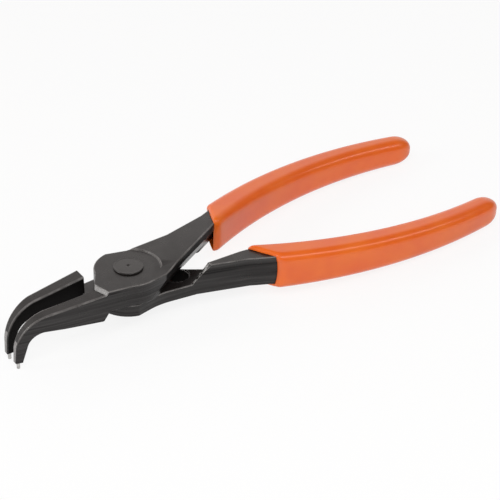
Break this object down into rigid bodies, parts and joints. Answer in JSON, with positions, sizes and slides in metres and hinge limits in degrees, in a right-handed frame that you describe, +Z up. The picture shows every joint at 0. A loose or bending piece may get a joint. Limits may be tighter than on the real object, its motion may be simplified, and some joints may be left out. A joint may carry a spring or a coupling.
{
  "type": "internal circlip pliers, bent tips",
  "caption": "Black forged steel internal circlip pliers with bent pinned tips, a riveted lap joint and orange dip-coated handle grips.",
  "frame": {"origin": "on the pivot axis, at the underside of the joint, where the rivet's lower head lies flush with the lower lever", "axes": "+X from the jaws to the handles, +Y to the upper lever's handle, +Z up along the pivot axis"},
  "size_m": [0.174, 0.0608, 0.0233],
  "materials": {
    "black_steel": "satin black phosphated forged steel",
    "orange_vinyl": "glossy dip-coated vinyl",
    "bare_steel": "ground bare steel"
  },
  "bodies": {
    "lower": {"lower_lever": "black_steel", "pivot_rivet": "black_steel", "lower_grip": "orange_vinyl", "lower_tip_pin": "bare_steel"},
    "upper": {"upper_lever": "black_steel", "upper_grip": "orange_vinyl", "upper_tip_pin": "bare_steel"}
  },
  "joints": [
    {"name": "pivot", "type": "hinge", "parent": "lower", "child": "upper", "pos_m": [0, 0, 0.008], "axis": [0, 0, 1], "range_deg": [-3, 45]}
  ]
}
